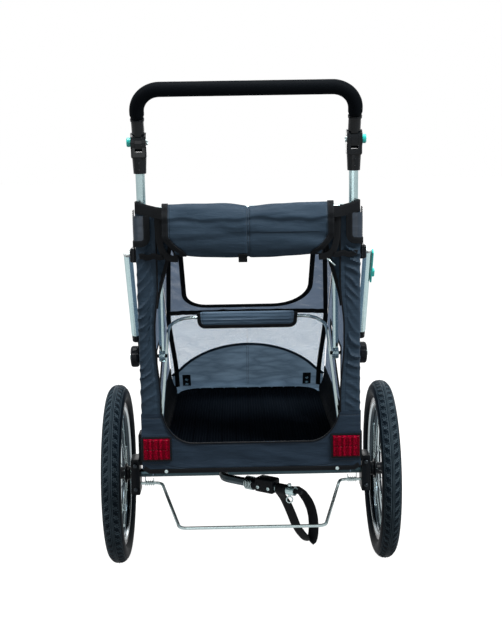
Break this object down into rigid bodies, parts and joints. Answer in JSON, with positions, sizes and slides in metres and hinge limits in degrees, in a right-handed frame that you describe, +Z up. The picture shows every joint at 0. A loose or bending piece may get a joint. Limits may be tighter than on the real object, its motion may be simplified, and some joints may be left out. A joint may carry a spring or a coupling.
{
  "type": "dog bike trailer",
  "caption": "Two-wheeled dog bike trailer with a fabric cabin open at the back, a rolled rear flap, a tilting push handle, a fold-down frame, a parking brake bar and a stowed tow arm",
  "frame": {"origin": "on the ground under the middle of the bounding box", "axes": "+X right seen from behind, +Y forward in the direction of travel, +Z up"},
  "size_m": [0.6536, 0.783, 1.047],
  "materials": {
    "aluminium_tube": "satin tube",
    "steel": "bright plated rod",
    "slate_fabric": "coated slate-grey fabric, fine weave",
    "black_fabric": "black woven fabric",
    "mesh_fabric": "light open mesh with black edging",
    "black_webbing": "flat black webbing",
    "floor_mat": "ribbed matt mat",
    "black_plastic": "black moulded plastic",
    "foam_grip": "soft foam sleeve",
    "teal_plastic": "teal plastic",
    "tyre": "black tread",
    "red_lens": "ribbed red reflector"
  },
  "bodies": {
    "chassis": {"base_frame": "aluminium_tube", "axle_tube": "aluminium_tube", "axle_bracket_left": "black_plastic", "axle_bracket_right": "black_plastic", "side_post_left": "black_plastic", "side_post_right": "black_plastic", "floor_panel": "black_fabric", "floor_mat": "floor_mat", "rear_sill": "slate_fabric", "reflector_base_left": "black_plastic", "reflector_base_right": "black_plastic", "reflector_left": "red_lens", "reflector_right": "red_lens", "wheel_axle_left": "steel", "wheel_axle_right": "steel", "arm_keeper_front": "black_plastic", "arm_keeper_rear": "black_plastic", "brake_spring_left": "steel", "brake_spring_right": "steel", "front_window": "mesh_fabric", "front_panel": "slate_fabric", "hatch_surround": "mesh_fabric", "hatch_flap": "slate_fabric", "side_wall_left": "mesh_fabric", "side_wall_right": "mesh_fabric", "rear_column_left": "slate_fabric", "rear_column_right": "slate_fabric"},
    "wheel_left": {"tyre_left": "tyre", "rim_left": "aluminium_tube", "hub_left": "black_plastic"},
    "wheel_right": {"tyre_right": "tyre", "rim_right": "aluminium_tube", "hub_right": "black_plastic"},
    "upper_frame": {"upright_frame": "aluminium_tube", "mid_hoop": "aluminium_tube", "brace_tube_left": "aluminium_tube", "brace_tube_right": "aluminium_tube", "brace_foot_left": "black_plastic", "brace_foot_right": "black_plastic", "brace_bracket_left": "black_plastic", "brace_bracket_right": "black_plastic", "roof_cover": "slate_fabric", "rear_roll": "slate_fabric", "handle_socket_left": "black_plastic", "handle_socket_right": "black_plastic"},
    "front_hoop": {"front_hoop": "steel"},
    "handle": {"handle_grip": "foam_grip", "handle_knuckle_left": "black_plastic", "handle_knuckle_right": "black_plastic"},
    "button_left": {"handle_button_left": "teal_plastic"},
    "button_right": {"handle_button_right": "teal_plastic"},
    "knob_left": {"side_knob_left": "black_plastic"},
    "knob_right": {"side_knob_right": "black_plastic"},
    "release_lever": {"release_lever": "teal_plastic"},
    "brake_bar": {"brake_bar": "steel"},
    "tow_arm": {"tow_arm": "aluminium_tube", "coupling_block": "black_plastic", "coupling_tube": "aluminium_tube", "safety_strap": "black_webbing"},
    "coupling_pin": {"coupling_pin": "steel"}
  },
  "joints": [
    {"name": "wheel_left_spin", "type": "hinge", "parent": "chassis", "child": "wheel_left", "pos_m": [-0.2965, -0.04248, 0.2], "axis": [1, 0, 0], "continuous": true},
    {"name": "wheel_right_spin", "type": "hinge", "parent": "chassis", "child": "wheel_right", "pos_m": [0.2965, -0.04248, 0.2], "axis": [1, 0, 0], "continuous": true},
    {"name": "frame_fold", "type": "hinge", "parent": "chassis", "child": "upper_frame", "pos_m": [0, -0.08248, 0.475], "axis": [1, 0, 0], "range_deg": [-114, 0], "deforming": ["front_window", "front_panel", "hatch_surround", "hatch_flap", "side_wall_left", "side_wall_right", "rear_column_left", "rear_column_right"]},
    {"name": "front_hoop_fold", "type": "hinge", "parent": "chassis", "child": "front_hoop", "pos_m": [0, -0.24248, 0.288], "axis": [1, 0, 0], "range_deg": [-23.3, 0]},
    {"name": "handle_tilt", "type": "hinge", "parent": "upper_frame", "child": "handle", "pos_m": [0, -0.32648, 0.937], "axis": [1, 0, 0], "range_deg": [-80, 65]},
    {"name": "button_left_press", "type": "slide", "parent": "upper_frame", "child": "button_left", "axis": [1, 0, 0], "range_m": [0, 0.003], "stiffness_N_per_m": 300},
    {"name": "button_right_press", "type": "slide", "parent": "upper_frame", "child": "button_right", "axis": [-1, 0, 0], "range_m": [0, 0.003], "stiffness_N_per_m": 300},
    {"name": "knob_left_turn", "type": "hinge", "parent": "upper_frame", "child": "knob_left", "pos_m": [-0.2495, -0.08248, 0.475], "axis": [-1, 0, 0], "range_deg": [0, 90]},
    {"name": "knob_right_turn", "type": "hinge", "parent": "upper_frame", "child": "knob_right", "pos_m": [0.2495, -0.08248, 0.475], "axis": [1, 0, 0], "range_deg": [0, 90]},
    {"name": "release_lever_pull", "type": "hinge", "parent": "upper_frame", "child": "release_lever", "pos_m": [0.2546, -0.23036, 0.71161], "axis": [0, -0.848, -0.53], "range_deg": [0, 35]},
    {"name": "parking_brake", "type": "hinge", "parent": "chassis", "child": "brake_bar", "pos_m": [0, -0.06248, 0.181], "axis": [1, 0, 0], "range_deg": [0, 18]},
    {"name": "tow_arm_slide", "type": "slide", "parent": "chassis", "child": "tow_arm", "axis": [0, 1, 0], "range_m": [0, 0.09]},
    {"name": "coupling_pin_pull", "type": "slide", "parent": "tow_arm", "child": "coupling_pin", "axis": [0, 0, -1], "range_m": [0, 0.028]}
  ],
  "couplings": [
    {"joint": "front_hoop_fold", "follows": "frame_fold", "ratio": 0.2035}
  ]
}
